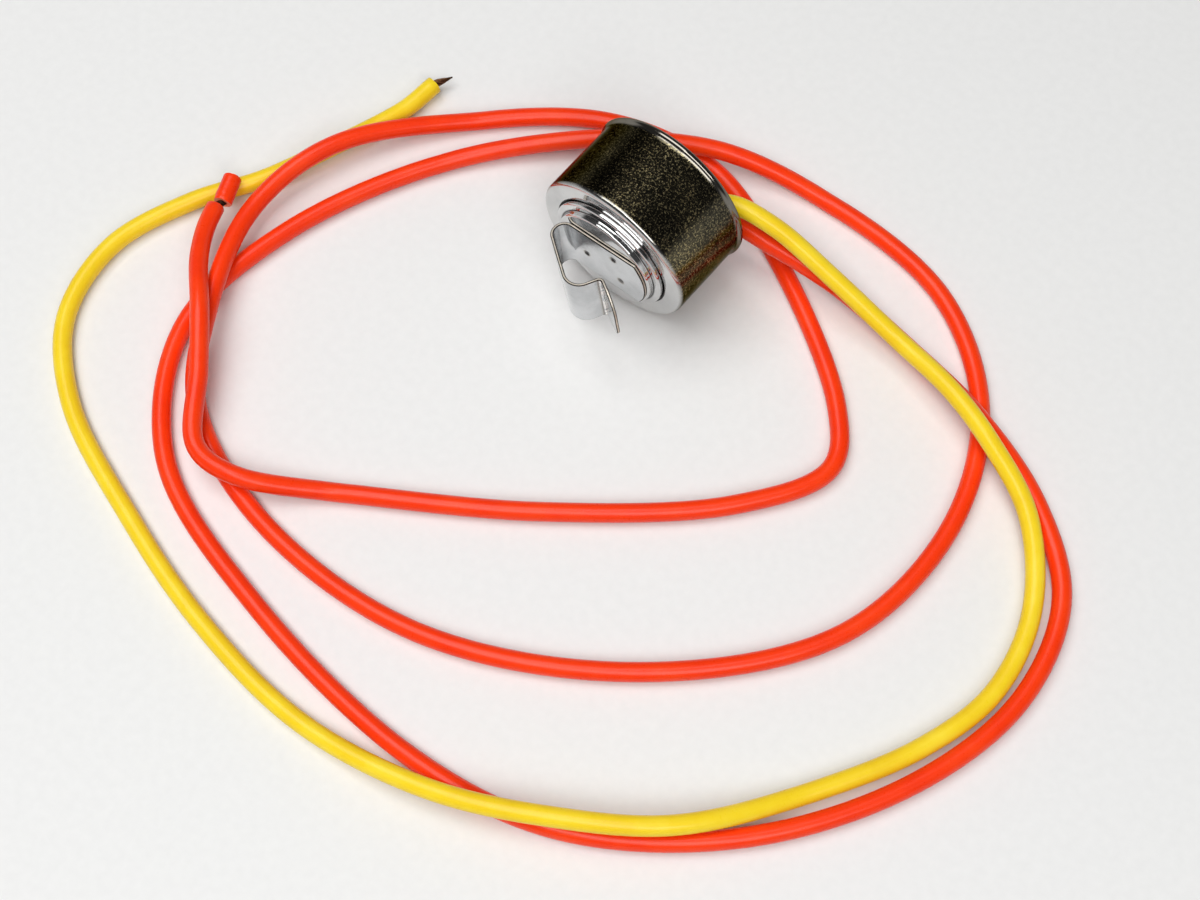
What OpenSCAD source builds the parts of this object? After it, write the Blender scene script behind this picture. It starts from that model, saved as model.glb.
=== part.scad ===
// Clip-on defrost thermostat: a potted steel can with a stepped sensing cap, a spring tube clip
// and two free leads, lying on its side. The can's axis runs along Y, with the clip towards -Y.

/* [Can] */
// Outside diameter of the can
can_d = 25.4; // [24:0.1:28]
// Length of the can from its front face to the back of its rim
can_len = 14; // [13.6:0.1:18]
// Sheet thickness of the can
can_wall = 0.5; // [0.4:0.05:0.6]
// Radius of the shoulder round the front face
shoulder_r = 0.8; // [0.6:0.05:1.2]
// How far the rolled rim stands out from the side
rim_proud = 0.4; // [0.2:0.05:0.6]
// Thickness of the rolled rim
rim_bead_d = 1.1; // [0.8:0.05:1.4]
// Gap between the can's front hole and the cap
cap_gap = 0.2; // [0.1:0.05:0.4]
// Radius on the edge of the can's front hole
hole_edge_r = 0.2; // [0.1:0.05:0.25]

/* [Sensing cap] */
// Outside diameter of the cap's skirt
cap_d = 19.2; // [18.8:0.1:20]
// Sheet thickness of the cap
cap_wall = 0.45; // [0.4:0.05:0.5]
// Diameter of the raised face
face_d = 16.7; // [16.3:0.1:17.2]
// How far the first step stands in front of the can
step_rise = 0.75; // [0.6:0.05:1]
// How far the face stands in front of the first step
face_rise = 0.95; // [0.7:0.05:1.1]
// Radius on the edges of both steps
cap_edge_r = 0.35; // [0.2:0.05:0.4]
// Depth of the skirt's crimped end behind the can's front
skirt_depth = 5.6; // [5.5:0.1:6]
// How far the crimp turns in over the base
crimp_reach = 0.95; // [0.8:0.05:1]

/* [Tube clip] */
// Width of the spring strip
clip_w = 9.2; // [7:0.1:10]
// Thickness of the spring strip
clip_t = 0.45; // [0.35:0.05:0.55]
// Turn of the clip about the can's axis
clip_turn = 8; // [-15:1:15]
// Radius of the pad's rounded end
pad_r = 8; // [7.5:0.1:8.2]
// Where the pad ends and the side bend begins
pad_side = 5.1; // [4.8:0.05:5.6]
// Radius of the side bend, at mid thickness
side_bend_r = 1.7; // [1.4:0.05:2]
// Slope of the leg over the tube
leg_slope = 35; // [30:1:40]
// Length of the leg
leg_len = 6.7; // [6.2:0.1:7.6]
// Radius of the curl over the tube, at mid thickness
curl_r = 2.4; // [1.8:0.1:2.6]
// Slope of the return down to the lip
return_slope = 60; // [50:1:70]
// Length of the return
return_len = 1.7; // [1.4:0.05:2.2]
// Radius of the lip, at mid thickness
lip_r = 0.6; // [0.45:0.05:0.9]
// Slope of the thumb tongue
tongue_slope = 30; // [24:1:40]
// Length of the thumb tongue
tongue_len = 4.6; // [3.8:0.1:6]
// Radius of the tongue's corners
tongue_corner_r = 3; // [1:0.1:3.4]
// Radius of the tool that leaves the spot-weld dents
weld_tool_r = 0.8; // [0.5:0.1:1.2]
// Depth of the spot-weld dents
weld_depth = 0.12; // [0.05:0.01:0.2]

/* [Disc and pin] */
// Diameter of the snap disc
disc_d = 17.8; // [17.4:0.1:18]
// Thickness of the snap disc
disc_t = 0.2; // [0.15:0.05:0.25]
// Height of the disc's dome
disc_dome = 0.35; // [0.25:0.05:0.4]
// Room that the guide leaves above the disc's edge
disc_play = 0.15; // [0.1:0.05:0.2]
// Thickness of the pin guide's web
guide_web = 1.2; // [1:0.1:1.4]
// Length of the guide's collar behind its web
guide_collar = 0.6; // [0.4:0.1:0.7]
// Wall of the guide's collar
collar_wall = 0.95; // [0.6:0.05:1]
// Width of the guide's foot ring over the disc's edge
foot_w = 0.5; // [0.4:0.05:0.6]
// Diameter of the transfer pin
pin_d = 2; // [1.6:0.1:2.4]
// Clearance round the transfer pin
pin_play = 0.05; // [0.03:0.01:0.08]
// Radius of the pin's rounded ends
pin_end_r = 2; // [1.6:0.1:3]
// Gap at each end of the pin with the disc held warm
pin_gap = 0.02; // [0.01:0.01:0.03]

/* [Switch] */
// Clearance between the moulded pieces and the cap's skirt
base_play = 0.05; // [0.02:0.01:0.1]
// Length of the base's hub behind the crimp
hub_len = 3; // [2.6:0.1:3.4]
// Thickness of the base's floor
floor_t = 1.5; // [1.2:0.1:1.8]
// Diameter of the switch chamber
chamber_d = 15.2; // [15:0.1:15.6]
// Width of the switch chamber
chamber_w = 8; // [6.5:0.1:9]
// Depth of the contact arm's front behind the can's front
arm_depth = 4.25; // [4.2:0.05:4.4]
// Thickness of the contact arm
arm_t = 0.25; // [0.2:0.05:0.3]
// Width of the contact arm and of the terminals
arm_w = 3; // [2.6:0.1:3.4]
// Distance of the arm's rivet from the axis
rivet_x = 4.8; // [4.6:0.1:5]
// Distance of the contacts from the axis
contact_x = 4.6; // [4.4:0.1:4.8]
// Diameter of the contact heads
contact_d = 2.2; // [2:0.1:2.4]
// Height of the contact heads
contact_h = 0.5; // [0.4:0.05:0.55]
// Radius of the crown on the contact heads
contact_crown_r = 4; // [3:0.5:6]
// Gap between the open contacts
contact_gap = 0.4; // [0.35:0.05:0.45]
// Diameter of the contacts' shanks
shank_d = 1.2; // [1:0.1:1.4]
// Height of every riveted-over end
upset_h = 0.25; // [0.2:0.05:0.3]
// How far a riveted-over end stands in from the edge of its head
upset_inset = 0.2; // [0.1:0.05:0.3]
// Thickness of the terminals
term_t = 0.5; // [0.4:0.05:0.6]
// Distance of the terminal blades from the axis, at mid thickness
blade_x = 6.75; // [6.7:0.05:6.8]
// Bend radius of the terminals, at mid thickness
term_bend_r = 0.6; // [0.4:0.05:0.7]
// Play of the arm on its rivet
arm_play = 0.1; // [0.08:0.01:0.14]
// Diameter of the arm rivet's head
rivet_head_d = 2.8; // [2.4:0.1:3]
// Diameter of the arm rivet's shank
rivet_shank_d = 1.5; // [1.3:0.1:1.7]
// Height of the arm rivet's head
rivet_head_h = 0.4; // [0.3:0.05:0.45]
// Clearance of the terminals in the base's slots
slot_play = 0.05; // [0.02:0.01:0.1]

/* [Back filling] */
// Height of the sealing ring behind the can's front face
seal_h = 1.5; // [1:0.1:2]
// How far the filling's surface lies inside the rim
fill_recess = 2.6; // [2.4:0.1:3]
// Radius of the filling's climb up the wall
fill_climb_r = 0.8; // [0.4:0.1:1.2]
// How far the terminal blades reach behind the base
blade_reach = 1.2; // [1:0.1:1.4]

/* [Leads] */
// Outside diameter of the lead wire
wire_d = 2.8; // [2.2:0.1:3]
// Diameter of the bare conductor
core_d = 1.2; // [0.9:0.1:1.3]
// Clearance round each lead in the filling
lead_play = 0.05; // [0.02:0.01:0.1]
// How deep the insulation of the leads sits in the filling
lead_bury = 1.85; // [1.6:0.05:2]
// Length of the straight run at the start of each lead
lead_straight = 3; // [2.6:0.1:3.4]
// Diameter of the conductor tails inside the filling
tail_d = 0.8; // [0.6:0.05:0.85]
// Length of the yellow lead's bare point
bare_len = 3; // [2:0.1:6]
// Length of the bared gap beside the loose slug of insulation
strip_gap = 1.3; // [1:0.1:3]
// Length of the loose slug of insulation
slug_len = 4.4; // [3:0.1:6]
// Diameter of the hole in the slug
slug_bore_d = 1.4; // [1.3:0.1:1.6]
// How far the bare conductor runs into the slug
slug_core_len = 2.6; // [1:0.1:2.8]

/* [Hidden] */
$fn = 96;
// how far cutting shapes run past what they cut, and pieces of one solid into each other
over = 1;
tiny = 0.01;

can_r = can_d / 2;
cap_r = cap_d / 2;
face_r = face_d / 2;
bead_r = rim_bead_d / 2;
rim_r = can_r + rim_proud;
can_inner_r = can_r - can_wall;
front_hole_r = cap_r + cap_gap;
axis_z = rim_r;
face_top = step_rise + face_rise;

// the strip's path from the pad to the tongue: straight length, bend radius, turn
clip_path = [
    [pad_r + pad_side, side_bend_r, -(180 - leg_slope)],
    [leg_len, curl_r, -(leg_slope + return_slope)],
    [return_len, lip_r, return_slope + tongue_slope],
    [tongue_len, 0, 0]];
clip_start = [pad_r, face_top + clip_t / 2];
clip_tip = walk(clip_path, clip_start, 180);
leg_end = walk([clip_path[0], [leg_len, 0, 0]], clip_start, 180);
curl_front = leg_end[1] + curl_r * (1 - cos(leg_slope)) + clip_t / 2;
clip_reach = max(curl_front, clip_tip[1] + clip_t / 2 * cos(tongue_slope));

// the origin lies under the middle of the can and clip
front_y = (clip_reach - can_len) / 2;

// spot-weld dents on the pad: along the strip and across it
weld_spots = [[-2.7, -0.2], [2.6, 2.9], [3.4, -1.9]];

// depths behind the can's front face
shelf_depth = cap_wall - step_rise;
disc_back = shelf_depth + disc_t;
disc_top = disc_back + disc_dome;
guide_front = disc_top + disc_play;
guide_back = guide_front + guide_web;
base_front = guide_back;
base_shoulder = skirt_depth - cap_wall;
base_back = base_shoulder + hub_len;
floor_front = base_back - floor_t;
arm_back = arm_depth + arm_t;
fixed_plate_back = arm_depth - 2 * contact_h - contact_gap;
rest_plate_front = arm_back + arm_play;
fill_surface = can_len - fill_recess;
blade_end = base_back + blade_reach;
tail_depth = base_back + tail_d / 2 + lead_play;

moulding_r = cap_r - cap_wall - base_play;
hub_r = cap_r - crimp_reach - base_play;
core_r = core_d / 2;

wire_r = wire_d / 2;
wire_sides = 8;

// where the leads' insulation starts inside the filling, and the end of its straight run
lead_root = front_y + fill_surface - lead_bury;
lead_free = lead_root + lead_straight;

// The leads' routes: to the right, to the back, and the rise above a wire lying on the floor
yellow_route = [
    [5, lead_root, 11.5], [5, lead_free, 11.5], [8, 14.5, 11.8], [15.2, 16.2, 11], [25.4, 16.8, 7.5],
    [38, 16.6, 4], [49, 14.4, 5.5], [57.6, 11.6, 5.5], [68.2, 7.2, 2.5], [76.6, -2.8, 0],
    [79.4, -15.6, 0], [76.4, -28.2, 0], [68.2, -43.4, 0], [57.8, -58.2, 3], [44.8, -67.8, 3.4],
    [29.2, -75.6, 2.5], [9.2, -79.6, 0], [-11, -78, 0], [-29.4, -73.4, 0], [-48, -66.6, 0],
    [-58.6, -57.2, 0], [-61.8, -44.6, 0], [-58, -31.8, 0], [-52.2, -21.6, 0], [-48.2, -11.2, 0],
    [-44.2, 0.8, 0], [-43.4, 7, 0.5]];
orange_route = [
    [5, lead_root, 6.5], [5, lead_free, 6.5], [8, 14.5, 6.5], [15.6, 16, 6], [26.4, 18.4, 2.5],
    [39, 18.4, 0], [54, 14.6, 3.1], [67.8, 10.4, 0.5], [78.8, 1.2, 0], [82.8, -14, 0],
    [78.6, -32.6, 0], [65.8, -52.8, 0], [46.2, -68, 0], [25, -73.4, 0], [-6.8, -71.4, 0],
    [-31.6, -63.8, 0], [-44.2, -47.2, 0], [-43.4, -26.2, 0], [-33.2, -2.2, 0], [-20, 12.8, 1.7],
    [-10.2, 19.6, 3.4], [0.4, 25.8, 2.9], [15.8, 30, 0], [38, 28.4, 0], [53.2, 17.4, 0],
    [60.8, -0.4, 0], [58.6, -22.4, 0], [40.6, -44.6, 0], [13.4, -60, 0], [-14.2, -62, 0],
    [-33.6, -55.2, 0.3], [-41.4, -44.4, 3.2], [-48.8, -27.4, 2.5], [-46.6, -11.6, 3.1], [-34, 6.8, 0],
    [-18.2, 19.8, 0], [-2, 23.4, 0], [14.4, 18.2, 0], [37.2, 4.2, 0], [42.4, -4, 0],
    [35.6, -16.8, 0], [15, -35.6, 0], [-9, -52, 0], [-21.2, -60.2, 3.4], [-28.2, -60.2, 3.3],
    [-35.4, -51.8, 4.6], [-41.4, -45, 6.5], [-47.6, -39.2, 5.2], [-51.2, -34.4, 3.8], [-52.8, -31, 3.2]];
yellow_points = [for (p = yellow_route) [p[0], p[1], p[2] + wire_r]];
orange_points = [for (p = orange_route) [p[0], p[1], p[2] + wire_r]];
yellow_end = yellow_points[len(yellow_points) - 1];
orange_end = orange_points[len(orange_points) - 1];
bare_dir = unit([0.45, 1, 0]);
gap_dir = unit([0.2, 1, 0]);
slug_dir = unit([-0.42, 1, 0.05]);
slug_start = orange_end + strip_gap * gap_dir;

// the yellow tail ends on its terminal blade, and the orange one lies along its own
yellow_weld = [blade_x - term_t / 2, tail_depth, yellow_points[0][2] - axis_z];
orange_weld = [-blade_x + term_t / 2 + tail_d / 2 + lead_play, tail_depth, arm_w / 4];

function unit(v) = v / norm(v);

// where a bent strip ends: each step goes straight and then turns
function walk(steps, at, heading, i = 0) =
    i == len(steps) ? at :
    let (length = steps[i][0], r = steps[i][1], turn = steps[i][2],
         mid = at + length * [cos(heading), sin(heading)],
         side = sign(turn) * r,
         centre = mid + side * [-sin(heading), cos(heading)],
         next = heading + turn)
    walk(steps, centre + side * [sin(next), -cos(next)], next, i + 1);

function heading_after(steps, heading, i = 0) =
    i == len(steps) ? heading : heading_after(steps, heading + steps[i][2], i + 1);

// where a lead's insulation ends inside the filling, from the middle of the can's front face
function lead_mouth(points) = points[0] - [0, front_y, axis_z];

// where the bare tail of a lead turns across to its terminal blade
function tail_turn(points) = [lead_mouth(points)[0], tail_depth, lead_mouth(points)[2]];

// places its children with their origin at the middle of the can's front face
module seat() {
    translate([0, front_y, axis_z]) children();
}

// turns a profile of radius and depth about the can's axis
module turned() {
    rotate([-90, 0, 0]) rotate_extrude() children();
}

// a round piece on its own line behind the can's front
module turned_at(x) {
    translate([x, 0, 0]) turned() children();
}

// one bend of a strip, as a slice of a ring
module strip_bend(t, r, turn) {
    reach = 3 * (r + t);
    first = turn > 0 ? -90 : 90;
    translate([0, sign(turn) * r])
    intersection() {
        difference() {
            circle(r + t / 2);
            circle(r - t / 2);
        }
        polygon([[0, 0], for (k = [0:3]) reach * [cos(first + turn * k / 3), sin(first + turn * k / 3)]]);
    }
}

// the section of a bent strip that starts at the origin and runs along X
module strip(t, steps, i = 0) {
    length = steps[i][0];
    r = steps[i][1];
    turn = steps[i][2];
    translate([-tiny, -t / 2]) square([length + 2 * tiny, t]);
    if (r > 0) translate([length, 0]) strip_bend(t, r, turn);
    if (i < len(steps) - 1) {
        side = sign(turn) * r;
        translate([length + side * sin(turn), side * (1 - cos(turn))])
        rotate(turn)
        strip(t, steps, i + 1);
    }
}

module shell_profile() {
    difference() {
        union() {
            translate([0, shoulder_r]) square([can_r, can_len - shoulder_r - bead_r]);
            square([can_r - shoulder_r, shoulder_r + tiny]);
            translate([can_r - shoulder_r, shoulder_r]) circle(shoulder_r);
            translate([rim_r - bead_r, can_len - bead_r]) circle(bead_r);
        }
        translate([-tiny, can_wall]) square([can_inner_r + tiny, can_len]);
        translate([-tiny, -tiny]) square([front_hole_r + hole_edge_r, can_wall + 2 * tiny]);
    }
    translate([front_hole_r + hole_edge_r, hole_edge_r]) circle(hole_edge_r, $fn = 32);
    translate([front_hole_r, hole_edge_r]) square([hole_edge_r + tiny, can_wall - hole_edge_r]);
}

module outer_shell() {
    color("#8c887c") seat() turned() shell_profile();
}

// a turned blank with a rounded front edge, from its front to the depth given
module rounded_blank(r, front, back, edge) {
    translate([0, front + edge]) square([r, back - front - edge]);
    translate([0, front]) square([r - edge, edge + tiny]);
    translate([r - edge, front + edge]) circle(edge, $fn = 48);
}

module cap_profile() {
    difference() {
        union() {
            rounded_blank(cap_r, -step_rise, skirt_depth, cap_edge_r);
            rounded_blank(face_r, -face_top, 0, cap_edge_r);
        }
        translate([-tiny, shelf_depth]) square([cap_r - cap_wall + tiny, base_shoulder - shelf_depth]);
        translate([-tiny, cap_wall - face_top]) square([face_r - cap_wall + tiny, face_top]);
        translate([-tiny, base_shoulder - tiny]) square([cap_r - crimp_reach + tiny, cap_wall + 2 * tiny]);
    }
}

module sensing_cap() {
    color("silver") seat() turned() cap_profile();
}

module clip_strip() {
    rotate([180, 0, 0])
    linear_extrude(clip_w, center = true)
    translate(clip_start)
    rotate(180)
    strip(clip_t, clip_path);
}

// what rounds one corner of the tongue
module tongue_corner_cut() {
    difference() {
        translate([-tongue_corner_r, -clip_t, clip_w / 2 - tongue_corner_r])
            cube([tongue_corner_r + over, 2 * clip_t, tongue_corner_r + over]);
        translate([-tongue_corner_r, 0, clip_w / 2 - tongue_corner_r])
            rotate([90, 0, 0])
            cylinder(h = 3 * clip_t, r = tongue_corner_r, center = true);
    }
}

module tube_clip() {
    color("#9aa0a4") seat()
    rotate([0, -clip_turn, 0])
    difference() {
        clip_strip();
        // the pad's end follows the cap's round face
        difference() {
            translate([0, -face_top - 2 * clip_t, -clip_w]) cube([pad_r + over, 3 * clip_t, 2 * clip_w]);
            rotate([90, 0, 0]) cylinder(h = 2 * face_top + 6 * clip_t, r = pad_r, center = true);
        }
        rotate([180, 0, 0])
        translate([clip_tip[0], clip_tip[1], 0])
        rotate(heading_after(clip_path, 180))
        for (side = [0, 1]) mirror([0, 0, side]) tongue_corner_cut();
        for (spot = weld_spots)
            translate([spot[0], weld_depth - weld_tool_r - face_top - clip_t, spot[1]])
            sphere(weld_tool_r, $fn = 32);
    }
}

// the disc's section: two arcs a thickness apart, domed to the back
module bimetal_disc() {
    r = disc_d / 2;
    steps = 10;
    arc_r = (r * r + disc_dome * disc_dome) / (2 * disc_dome);
    lift = [for (k = [0:steps]) let (x = r * k / steps) [x, sqrt(arc_r * arc_r - x * x) - arc_r + disc_dome]];
    color("#b5a642") seat()
    translate([0, shelf_depth, 0])
    turned()
    polygon(concat(lift, [for (k = [steps:-1:0]) lift[k] + [0, disc_t]]));
}

module pin_guide() {
    bore_r = pin_d / 2 + pin_play;
    color("#6b4a2f") seat() turned()
    difference() {
        union() {
            translate([0, guide_front]) square([moulding_r, guide_web]);
            translate([moulding_r - foot_w, disc_back + disc_play]) square([foot_w, guide_front - disc_back]);
            translate([0, guide_back - tiny]) square([bore_r + collar_wall, guide_collar + tiny]);
        }
        translate([0, guide_front - over]) square([bore_r, guide_web + guide_collar + 2 * over]);
    }
}

// a shaft's section with both ends rounded
module pin_profile(r, from, to, end_r) {
    dome = end_r - sqrt(end_r * end_r - r * r);
    translate([0, from + dome]) square([r, to - from - 2 * dome]);
    for (end = [[from, 1], [to, -1]])
        intersection() {
            translate([0, end[0] + end[1] * end_r]) circle(end_r);
            translate([0, min(end[0], end[0] + end[1] * (dome + tiny))]) square([r, dome + tiny]);
        }
}

module transfer_pin() {
    color("ivory") seat() turned()
    pin_profile(pin_d / 2, disc_top + pin_gap, arm_depth - pin_gap, pin_end_r);
}

// the hole in the base's floor for one terminal
module terminal_slot(side) {
    translate([side * blade_x, (floor_front + base_back) / 2, 0])
    cube([term_t + 2 * slot_play, floor_t + 2 * over, arm_w + 2 * slot_play], center = true);
}

module switch_base() {
    color("#3a2a20") seat()
    difference() {
        turned() union() {
            translate([0, base_front]) square([moulding_r, base_shoulder - base_front]);
            translate([0, base_shoulder - tiny]) square([hub_r, hub_len + tiny]);
        }
        intersection() {
            turned() translate([0, base_front - over]) square([chamber_d / 2, floor_front - base_front + over]);
            translate([0, floor_front - can_len / 2, 0]) cube([can_d, can_len, chamber_w], center = true);
        }
        for (side = [-1, 1]) terminal_slot(side);
    }
}

// the arm's outline, seen along the can's axis
module arm_outline() {
    difference() {
        union() {
            translate([-rivet_x, -arm_w / 2]) square([rivet_x + contact_x, arm_w]);
            for (x = [-rivet_x, contact_x]) translate([x, 0]) circle(arm_w / 2);
        }
        translate([-rivet_x, 0]) circle(rivet_shank_d / 2 + arm_play);
        translate([contact_x, 0]) circle(shank_d / 2);
    }
}

module contact_arm() {
    color("#c58b4a") seat()
    translate([0, arm_depth, 0])
    rotate([-90, 0, 0])
    linear_extrude(arm_t)
    arm_outline();
}

// a contact's section: crowned head, shank and riveted-over end
module contact_profile(shank_len) {
    intersection() {
        square([contact_d / 2, contact_h]);
        translate([0, contact_crown_r]) circle(contact_crown_r);
    }
    translate([0, contact_h - tiny]) square([shank_d / 2, shank_len + 2 * tiny]);
    translate([0, contact_h + shank_len]) square([contact_d / 2 - upset_inset, upset_h]);
}

module moving_contact() {
    color("gainsboro") seat()
    turned_at(contact_x) translate([0, arm_depth - contact_h]) contact_profile(arm_t);
}

module fixed_contact() {
    color("gainsboro") seat()
    turned_at(contact_x)
    translate([0, fixed_plate_back + contact_h]) mirror([0, 1]) contact_profile(term_t);
}

module fixed_terminal() {
    plate_mid = fixed_plate_back - term_t / 2;
    plate_end = contact_x - arm_w / 2;
    color("#b08d57") seat()
    difference() {
        linear_extrude(arm_w, center = true)
        translate([plate_end, plate_mid])
        strip(term_t, [
            [blade_x - term_bend_r - plate_end, term_bend_r, 90],
            [blade_end - plate_mid - term_bend_r, 0, 0]]);
        turned_at(contact_x) square([shank_d / 2, 2 * fixed_plate_back]);
    }
}

module arm_terminal() {
    plate_mid = rest_plate_front + term_t / 2;
    plate_end = rivet_x - arm_w / 2;
    color("#b08d57") seat()
    difference() {
        linear_extrude(arm_w, center = true)
        translate([-plate_end, plate_mid])
        rotate(180)
        strip(term_t, [
            [blade_x - term_bend_r - plate_end, term_bend_r, -90],
            [blade_end - plate_mid - term_bend_r, 0, 0]]);
        turned_at(-rivet_x) square([rivet_shank_d / 2, 2 * plate_mid]);
    }
}

module arm_rivet() {
    head_front = arm_depth - arm_play - rivet_head_h;
    plate_back = rest_plate_front + term_t;
    color("#b08d57") seat() turned_at(-rivet_x) {
        translate([0, head_front]) square([rivet_head_d / 2, rivet_head_h]);
        translate([0, head_front + tiny]) square([rivet_shank_d / 2, plate_back - head_front]);
        translate([0, plate_back]) square([rivet_head_d / 2 - upset_inset, upset_h]);
    }
}

module sealing_ring() {
    color("dimgray") seat() turned()
    translate([cap_r, can_wall]) square([can_inner_r - cap_r, seal_h]);
}

// a bare wire through the points given, with each stretch lapping the one before it
module bare_wire(points, r) {
    for (i = [0:len(points) - 2]) {
        dir = unit(points[i + 1] - points[i]);
        lap = i > 0 ? r / 3 : 0;
        translate(points[i] - lap * dir)
        along(dir)
        cylinder(h = norm(points[i + 1] - points[i]) + lap, r = r, $fn = 32);
    }
}

module yellow_tail_shape() {
    bare_wire([lead_mouth(yellow_points), tail_turn(yellow_points), yellow_weld], tail_d / 2);
}

module orange_tail_shape() {
    turn = tail_turn(orange_points);
    bare_wire([lead_mouth(orange_points), turn, [orange_weld[0], turn[1], turn[2]], orange_weld], tail_d / 2);
}

module yellow_tail() {
    color("#b87333") seat() yellow_tail_shape();
}

module orange_tail() {
    color("#b87333") seat() orange_tail_shape();
}

module potting_profile() {
    seal_back = can_wall + seal_h;
    translate([cap_r, seal_back]) square([can_inner_r - cap_r, skirt_depth - seal_back + tiny]);
    translate([hub_r, skirt_depth]) square([can_inner_r - hub_r, base_back - skirt_depth + tiny]);
    translate([0, base_back]) square([can_inner_r, fill_surface - base_back]);
    translate([can_inner_r - fill_climb_r, fill_surface - tiny])
    difference() {
        square([fill_climb_r, fill_climb_r + tiny]);
        translate([0, fill_climb_r + tiny]) circle(fill_climb_r, $fn = 48);
    }
}

module potting() {
    color("#23211f") seat()
    difference() {
        turned() potting_profile();
        for (side = [-1, 1])
            translate([side * blade_x, blade_end / 2 + base_back / 2, 0])
            cube([term_t, blade_end - base_back + 2 * tiny, arm_w], center = true);
        yellow_tail_shape();
        orange_tail_shape();
        for (points = [yellow_points, orange_points])
            translate(lead_mouth(points))
            rotate([-90, 0, 0])
            cylinder(h = fill_surface, r = wire_r + lead_play);
    }
}

// a plain tube swept along a route, with one ring of corners at each point
module swept_tube(points) {
    last = len(points) - 1;
    corners = [for (i = [0:last])
        let (ahead = unit(points[min(i + 1, last)] - points[max(i - 1, 0)]),
             side = unit(cross([0, 0, 1], ahead)),
             up = cross(ahead, side))
        for (k = [0:wire_sides - 1])
            let (turn = 360 * k / wire_sides)
            points[i] + wire_r * (cos(turn) * side + sin(turn) * up)];
    walls = [for (i = [0:last - 1]) for (k = [0:wire_sides - 1])
        let (a = i * wire_sides + k,
             b = i * wire_sides + (k + 1) % wire_sides)
        for (face = [[a, b + wire_sides, b], [a, a + wire_sides, b + wire_sides]]) face];
    ends = [
        [for (k = [0:wire_sides - 1]) k],
        [for (k = [wire_sides - 1:-1:0]) last * wire_sides + k]];
    polyhedron(points = corners, faces = concat(walls, ends));
}

module yellow_lead() {
    color("gold") swept_tube(yellow_points);
}

module orange_lead() {
    color("#e8401c") swept_tube(orange_points);
}

// turns its children, made along Z, to point along a direction
module along(dir) {
    rotate([0, acos(dir[2]), atan2(dir[1], dir[0])]) children();
}

module yellow_bare_end() {
    straight = bare_len / 3;
    color("#3b2a20")
    translate(yellow_end)
    along(bare_dir) {
        cylinder(h = straight, r = core_r, $fn = 32);
        translate([0, 0, straight]) cylinder(h = bare_len - straight, r1 = core_r, r2 = core_r / 4, $fn = 32);
    }
}

module orange_bare_end() {
    color("#8a5a3a")
    bare_wire([orange_end, slug_start, slug_start + slug_core_len * slug_dir], core_r);
}

module orange_slug() {
    color("#e8401c")
    translate(slug_start)
    along(slug_dir)
    difference() {
        cylinder(h = slug_len, r = wire_r);
        translate([0, 0, -slug_len]) cylinder(h = 3 * slug_len, r = slug_bore_d / 2);
    }
}

outer_shell();
sensing_cap();
tube_clip();
bimetal_disc();
pin_guide();
transfer_pin();
switch_base();
contact_arm();
moving_contact();
fixed_contact();
fixed_terminal();
arm_terminal();
arm_rivet();
sealing_ring();
potting();
yellow_tail();
orange_tail();
yellow_lead();
orange_lead();
yellow_bare_end();
orange_bare_end();
orange_slug();
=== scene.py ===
"""Looks of the clip-on defrost thermostat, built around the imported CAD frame. Lengths are in metres."""
import math

import bmesh
import bpy
import numpy as np
from mathutils import Matrix, Vector, noise


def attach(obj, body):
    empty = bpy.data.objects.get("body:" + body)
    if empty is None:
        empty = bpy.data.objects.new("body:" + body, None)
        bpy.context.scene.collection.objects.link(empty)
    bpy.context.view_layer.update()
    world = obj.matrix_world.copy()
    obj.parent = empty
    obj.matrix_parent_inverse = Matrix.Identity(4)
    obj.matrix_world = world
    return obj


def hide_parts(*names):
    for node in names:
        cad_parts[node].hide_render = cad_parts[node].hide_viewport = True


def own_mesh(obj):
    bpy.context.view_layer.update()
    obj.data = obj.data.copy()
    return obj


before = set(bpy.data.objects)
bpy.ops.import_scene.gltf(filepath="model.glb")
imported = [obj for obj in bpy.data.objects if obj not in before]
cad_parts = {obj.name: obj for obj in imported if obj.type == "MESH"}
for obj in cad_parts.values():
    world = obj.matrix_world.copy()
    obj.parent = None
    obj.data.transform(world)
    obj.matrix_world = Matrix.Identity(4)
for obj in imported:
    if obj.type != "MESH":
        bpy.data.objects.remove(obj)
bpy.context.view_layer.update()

MM = 0.001
HOUSING = "housing"

# The same sizes as in the CAD source, in millimetres and degrees
WIRE_R, CORE_R = 1.4, 0.6
CAN_R, CAN_LEN, CAN_WALL, SHOULDER_R = 12.7, 14.0, 0.5, 0.8
RIM_PROUD, BEAD_R = 0.4, 0.55
RIM_R = CAN_R + RIM_PROUD
CAP_R, FACE_R, CAP_WALL, CAP_EDGE_R = 9.6, 8.35, 0.45, 0.35
STEP_RISE, FACE_RISE, SKIRT_DEPTH, CRIMP_REACH = 0.75, 0.95, 5.6, 0.95
FACE_TOP = STEP_RISE + FACE_RISE
HOLE_R, HOLE_EDGE_R = 9.8, 0.2
CLIP_W, CLIP_T, CLIP_TURN, CLIP_EDGE = 9.2, 0.45, 8.0, 0.13
PAD_R, PAD_SIDE, SIDE_BEND_R = 8.0, 5.1, 1.7
LEG_SLOPE, LEG_LEN, CURL_R = 35.0, 6.7, 2.4
RETURN_SLOPE, RETURN_LEN, LIP_R = 60.0, 1.7, 0.6
TONGUE_SLOPE, TONGUE_LEN, TONGUE_CORNER_R = 30.0, 4.6, 3.0
WELD_SPOTS = [(-2.7, -0.2), (2.6, 2.9), (3.4, -1.9)]
BASE_BACK, HUB_R, FILL_SURFACE = 8.15, 8.6, 11.4
DISC_R, DISC_T, DISC_DOME = 8.9, 0.2, 0.35
FRONT_Y, AXIS_Z = -2.2423, 13.1
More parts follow.
